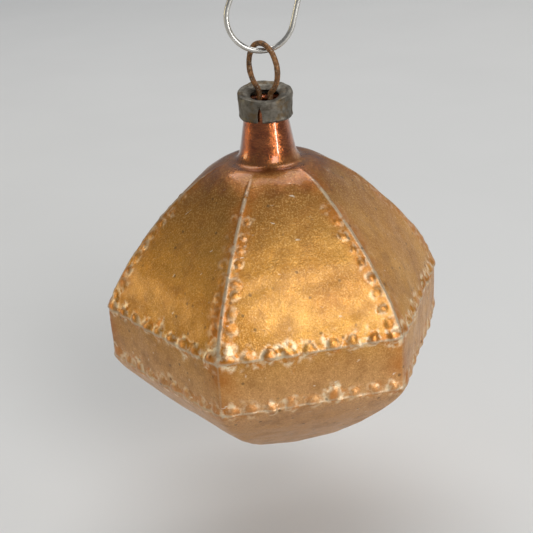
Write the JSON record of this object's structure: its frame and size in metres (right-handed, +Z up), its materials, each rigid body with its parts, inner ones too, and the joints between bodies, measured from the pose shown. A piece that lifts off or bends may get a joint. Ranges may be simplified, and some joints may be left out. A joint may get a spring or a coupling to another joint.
{
  "type": "glass ball ornament",
  "caption": "Six-sided blown-glass tree ornament with a beaded, banded body, a narrow neck, a slit tin cap, a wire loop and an S-shaped tree hook.",
  "frame": {"origin": "the hang point: the top of the inside of the hook's upper bow, where a branch carries it", "axes": "+Z up; the hook lies in the XZ plane; the glass hangs on the Z axis, with one of its six corners 10.9 degrees round from +X"},
  "size_m": [0.0628, 0.0604, 0.126],
  "materials": {
    "lacquered_glass": "clear glass silvered inside and lacquered golden brown, worn pale along its ribs",
    "tin": "dull stained tinplate",
    "iron_wire": "rusted iron wire",
    "bright_wire": "bright plated wire"
  },
  "bodies": {
    "hook": {"tree_hook": "bright_wire"},
    "loop": {"wire_loop": "iron_wire"},
    "cap": {"tin_cap": "tin"},
    "glass": {"glass_body": "lacquered_glass"}
  },
  "joints": [
    {"name": "loop_swing", "type": "hinge", "parent": "hook", "child": "loop", "pos_m": [0, 0, -0.04753], "axis": [1, 0, 0], "range_deg": [-80, 80]},
    {"name": "cap_swivel", "type": "hinge", "parent": "loop", "child": "cap", "pos_m": [0, 0, -0.0551], "axis": [0, 0, 1], "continuous": true},
    {"name": "glass_pull_off", "type": "slide", "parent": "cap", "child": "glass", "axis": [0, 0, -1], "range_m": [0, 0.02]}
  ]
}
